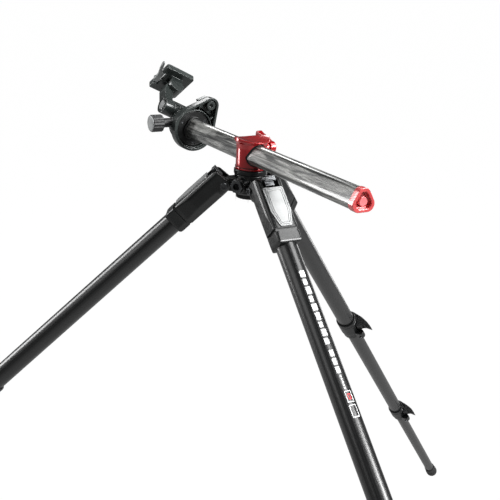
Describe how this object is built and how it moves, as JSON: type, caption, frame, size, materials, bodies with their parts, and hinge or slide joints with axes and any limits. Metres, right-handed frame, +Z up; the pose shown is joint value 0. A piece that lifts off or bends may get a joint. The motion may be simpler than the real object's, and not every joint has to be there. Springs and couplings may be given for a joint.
{
  "type": "camera support with sliding column",
  "caption": "Three-legged camera support whose horizontal column slides through a red swivel collar and carries a pan, tilt and roll head.",
  "frame": {"origin": "on the floor, in the middle of the box round the part, which is the middle of the three feet's footprint; the spider's vertical axis is 245.6 mm from it along -X, with the legs fully out at the 45 degree stop", "axes": "+Z up; +X along the sliding column towards its red end cap, with the camera head at -X; leg 1 is under +X, and legs 2 and 3 are 120 degrees either side"},
  "size_m": [1.4994, 1.7278, 1.0862],
  "materials": {
    "black_casting": "satin black paint over die-cast metal",
    "grey_casting": "bead-blasted grey",
    "silver_plate": "satin anodised",
    "steel": "fine turned",
    "leg_carbon": "satin carbon fibre laminate",
    "column_carbon": "lacquered carbon fibre with a pale streaked grain",
    "black_plastic": "fine-grained moulding",
    "red_casting": "gloss red lacquer",
    "red_plastic": "gloss moulding",
    "vial": "clear acrylic with tinted liquid",
    "foot_rubber": "matte"
  },
  "bodies": {
    "base": {"spider_casting": "black_casting", "accessory_socket": "steel", "leg_1_hinge_pin": "steel", "leg_2_hinge_pin": "steel", "leg_3_hinge_pin": "steel"},
    "level": {"level_ring": "black_plastic", "level_vial": "vial"},
    "collar": {"collar_sleeve": "red_casting", "collar_liner": "black_plastic", "retaining_nut": "black_plastic"},
    "clamp": {"clamp_lever": "red_casting", "clamp_screw": "steel"},
    "column": {"column_tube": "column_carbon", "column_end_cap": "red_plastic", "column_head_plate": "grey_casting", "mounting_stud": "steel", "head_base": "black_casting"},
    "release_button": {"release_button": "red_plastic"},
    "pan_lock_knob": {"pan_lock_knob": "black_plastic"},
    "head_pan": {"pan_body": "black_casting"},
    "tilt_lock_knob": {"tilt_lock_knob": "black_plastic"},
    "head_tilt": {"tilt_arm": "black_casting"},
    "head_roll": {"plate_clamp": "black_casting", "quick_plate": "silver_plate"},
    "camera_screw": {"camera_screw": "steel"},
    "plate_lever": {"plate_lever": "silver_plate"},
    "leg_1": {"leg_1_yoke": "black_casting", "leg_1_trim_plate": "silver_plate", "leg_1_upper_tube": "leg_carbon", "leg_1_upper_lock": "black_plastic"},
    "leg_1_angle_stop": {"leg_1_angle_stop": "steel"},
    "leg_1_upper_lever": {"leg_1_upper_lever": "black_plastic"},
    "leg_1_middle": {"leg_1_middle_tube": "leg_carbon", "leg_1_lower_lock": "black_plastic"},
    "leg_1_lower_lever": {"leg_1_lower_lever": "black_plastic"},
    "leg_1_lower": {"leg_1_lower_tube": "leg_carbon", "leg_1_foot": "foot_rubber"},
    "leg_2": {"leg_2_yoke": "black_casting", "leg_2_trim_plate": "silver_plate", "leg_2_upper_tube": "leg_carbon", "leg_2_upper_lock": "black_plastic"},
    "leg_2_angle_stop": {"leg_2_angle_stop": "steel"},
    "leg_2_upper_lever": {"leg_2_upper_lever": "black_plastic"},
    "leg_2_middle": {"leg_2_middle_tube": "leg_carbon", "leg_2_lower_lock": "black_plastic"},
    "leg_2_lower_lever": {"leg_2_lower_lever": "black_plastic"},
    "leg_2_lower": {"leg_2_lower_tube": "leg_carbon", "leg_2_foot": "foot_rubber"},
    "leg_3": {"leg_3_yoke": "black_casting", "leg_3_trim_plate": "silver_plate", "leg_3_upper_tube": "leg_carbon", "leg_3_upper_lock": "black_plastic"},
    "leg_3_angle_stop": {"leg_3_angle_stop": "steel"},
    "leg_3_upper_lever": {"leg_3_upper_lever": "black_plastic"},
    "leg_3_middle": {"leg_3_middle_tube": "leg_carbon", "leg_3_lower_lock": "black_plastic"},
    "leg_3_lower_lever": {"leg_3_lower_lever": "black_plastic"},
    "leg_3_lower": {"leg_3_lower_tube": "leg_carbon", "leg_3_foot": "foot_rubber"}
  },
  "joints": [
    {"name": "level_ring_turn", "type": "hinge", "parent": "base", "child": "level", "pos_m": [-0.24555, 0, 0.9692], "axis": [0, 0, 1], "continuous": true},
    {"name": "collar_pan", "type": "hinge", "parent": "base", "child": "collar", "pos_m": [-0.24555, 0, 0.9532], "axis": [0, 0, 1], "continuous": true},
    {"name": "clamp_lever_turn", "type": "hinge", "parent": "collar", "child": "clamp", "pos_m": [-0.24555, 0.03, 1.0002], "axis": [0, 1, 0], "range_deg": [-20, 90]},
    {"name": "column_slide", "type": "slide", "parent": "collar", "child": "column", "axis": [1, 0, 0], "range_m": [-0.225, 0.13]},
    {"name": "release_button_press", "type": "slide", "parent": "column", "child": "release_button", "axis": [-1, 0, 0], "range_m": [0, 0.003], "stiffness_N_per_m": 800},
    {"name": "pan_lock_knob_turn", "type": "hinge", "parent": "column", "child": "pan_lock_knob", "pos_m": [-0.44755, -0.05, 1.0002], "axis": [0, -1, 0], "continuous": true},
    {"name": "head_pan_turn", "type": "hinge", "parent": "column", "child": "head_pan", "pos_m": [-0.46155, 0, 0.9932], "axis": [1, 0, 0], "continuous": true},
    {"name": "tilt_lock_knob_turn", "type": "hinge", "parent": "head_pan", "child": "tilt_lock_knob", "pos_m": [-0.47855, 0.02948, 0.9949], "axis": [0, 0.9063, -0.4226], "continuous": true},
    {"name": "head_tilt_turn", "type": "hinge", "parent": "head_pan", "child": "head_tilt", "pos_m": [-0.47855, 0.00592, 1.00589], "axis": [0, 0.9063, -0.4226], "range_deg": [-75, 45]},
    {"name": "head_roll_turn", "type": "hinge", "parent": "head_tilt", "child": "head_roll", "pos_m": [-0.50684, -0.00116, 1.0404], "axis": [0.7071, 0.2988, 0.6409], "range_deg": [-90, 30]},
    {"name": "camera_screw_turn", "type": "hinge", "parent": "head_roll", "child": "camera_screw", "pos_m": [-0.52098, 0.00481, 1.05321], "axis": [-0.7071, 0.2988, 0.6409], "continuous": true},
    {"name": "plate_lever_turn", "type": "hinge", "parent": "head_roll", "child": "plate_lever", "pos_m": [-0.52239, -0.02052, 1.05567], "axis": [-0.7071, 0.2988, 0.6409], "range_deg": [-70, 0]},
    {"name": "leg_1_fold", "type": "hinge", "parent": "base", "child": "leg_1", "pos_m": [-0.21055, 0, 0.9502], "axis": [0, 1, 0], "range_deg": [-42, 45], "stiffness_Nm_per_rad": 3000},
    {"name": "leg_1_angle_stop_press", "type": "slide", "parent": "leg_1", "child": "leg_1_angle_stop", "axis": [0.7071, 0, -0.7071], "range_m": [0, 0.004], "stiffness_N_per_m": 800},
    {"name": "leg_1_middle_slide", "type": "slide", "parent": "leg_1", "child": "leg_1_middle", "axis": [0.7071, 0, -0.7071], "range_m": [-0.37, 0], "stiffness_N_per_m": 20000},
    {"name": "leg_1_lower_slide", "type": "slide", "parent": "leg_1_middle", "child": "leg_1_lower", "axis": [0.7071, 0, -0.7071], "range_m": [-0.35, 0], "stiffness_N_per_m": 20000},
    {"name": "leg_1_upper_lever_turn", "type": "hinge", "parent": "leg_1", "child": "leg_1_upper_lever", "pos_m": [0.13681, 0.0194, 0.62263], "axis": [-0.7071, 0, 0.7071], "range_deg": [0, 105]},
    {"name": "leg_1_lower_lever_turn", "type": "hinge", "parent": "leg_1_middle", "child": "leg_1_lower_lever", "pos_m": [0.44087, 0.0172, 0.31858], "axis": [-0.7071, 0, 0.7071], "range_deg": [0, 105]},
    {"name": "leg_2_fold", "type": "hinge", "parent": "base", "child": "leg_2", "pos_m": [-0.26305, 0.03031, 0.9502], "axis": [-0.866, -0.5, 0], "range_deg": [-42, 45], "stiffness_Nm_per_rad": 3000},
    {"name": "leg_2_angle_stop_press", "type": "slide", "parent": "leg_2", "child": "leg_2_angle_stop", "axis": [-0.3536, 0.6124, -0.7071], "range_m": [0, 0.004], "stiffness_N_per_m": 800},
    {"name": "leg_2_middle_slide", "type": "slide", "parent": "leg_2", "child": "leg_2_middle", "axis": [-0.3536, 0.6124, -0.7071], "range_m": [-0.37, 0], "stiffness_N_per_m": 20000},
    {"name": "leg_2_lower_slide", "type": "slide", "parent": "leg_2_middle", "child": "leg_2_lower", "axis": [-0.3536, 0.6124, -0.7071], "range_m": [-0.35, 0], "stiffness_N_per_m": 20000},
    {"name": "leg_2_upper_lever_turn", "type": "hinge", "parent": "leg_2", "child": "leg_2_upper_lever", "pos_m": [-0.45354, 0.32144, 0.62263], "axis": [0.3536, -0.6124, 0.7071], "range_deg": [0, 105]},
    {"name": "leg_2_lower_lever_turn", "type": "hinge", "parent": "leg_2_middle", "child": "leg_2_lower_lever", "pos_m": [-0.60366, 0.58586, 0.31858], "axis": [0.3536, -0.6124, 0.7071], "range_deg": [0, 105]},
    {"name": "leg_3_fold", "type": "hinge", "parent": "base", "child": "leg_3", "pos_m": [-0.26305, -0.03031, 0.9502], "axis": [0.866, -0.5, 0], "range_deg": [-42, 45], "stiffness_Nm_per_rad": 3000},
    {"name": "leg_3_angle_stop_press", "type": "slide", "parent": "leg_3", "child": "leg_3_angle_stop", "axis": [-0.3536, -0.6124, -0.7071], "range_m": [0, 0.004], "stiffness_N_per_m": 800},
    {"name": "leg_3_middle_slide", "type": "slide", "parent": "leg_3", "child": "leg_3_middle", "axis": [-0.3536, -0.6124, -0.7071], "range_m": [-0.37, 0], "stiffness_N_per_m": 20000},
    {"name": "leg_3_lower_slide", "type": "slide", "parent": "leg_3_middle", "child": "leg_3_lower", "axis": [-0.3536, -0.6124, -0.7071], "range_m": [-0.35, 0], "stiffness_N_per_m": 20000},
    {"name": "leg_3_upper_lever_turn", "type": "hinge", "parent": "leg_3", "child": "leg_3_upper_lever", "pos_m": [-0.41994, -0.34084, 0.62263], "axis": [0.3536, 0.6124, 0.7071], "range_deg": [0, 105]},
    {"name": "leg_3_lower_lever_turn", "type": "hinge", "parent": "leg_3_middle", "child": "leg_3_lower_lever", "pos_m": [-0.57387, -0.60306, 0.31858], "axis": [0.3536, 0.6124, 0.7071], "range_deg": [0, 105]}
  ]
}
